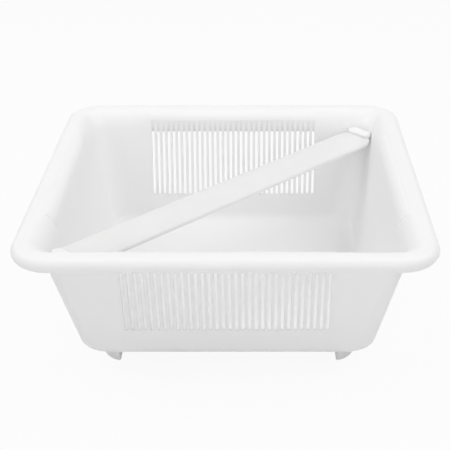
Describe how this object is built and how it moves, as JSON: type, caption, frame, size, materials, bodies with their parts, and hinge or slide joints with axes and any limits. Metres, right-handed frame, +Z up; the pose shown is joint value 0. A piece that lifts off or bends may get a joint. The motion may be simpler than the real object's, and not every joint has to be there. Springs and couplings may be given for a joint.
{
  "type": "cheese mold",
  "caption": "Square tapered plastic cheese mold with slotted drain walls, a rolled rim and a removable lift bar pegged across its corners.",
  "frame": {"origin": "centre of the square under the feet, on the surface that the mold stands on", "axes": "+Z up through the open mouth, +X to the right along the slotted front wall, +Y from the front wall to the rear wall; the bar runs from the -X-Y corner to the +X+Y corner"},
  "size_m": [0.26, 0.26, 0.1025],
  "materials": {
    "tub_plastic": "satin white moulded polypropylene",
    "bar_plastic": "satin white moulded polypropylene",
    "peg_plastic": "smooth white moulded plastic"
  },
  "bodies": {
    "tub": {"tub": "tub_plastic"},
    "lift_bar": {"lift_bar": "bar_plastic"},
    "rear_peg": {"rear_peg": "peg_plastic"},
    "front_peg": {"front_peg": "peg_plastic"}
  },
  "joints": [
    {"name": "bar_lift", "type": "slide", "parent": "tub", "child": "lift_bar", "axis": [0, 0, 1], "range_m": [0, 0.03]},
    {"name": "rear_peg_pull", "type": "slide", "parent": "lift_bar", "child": "rear_peg", "axis": [0, 0, 1], "range_m": [0, 0.012]},
    {"name": "front_peg_pull", "type": "slide", "parent": "lift_bar", "child": "front_peg", "axis": [0, 0, 1], "range_m": [0, 0.012]}
  ]
}
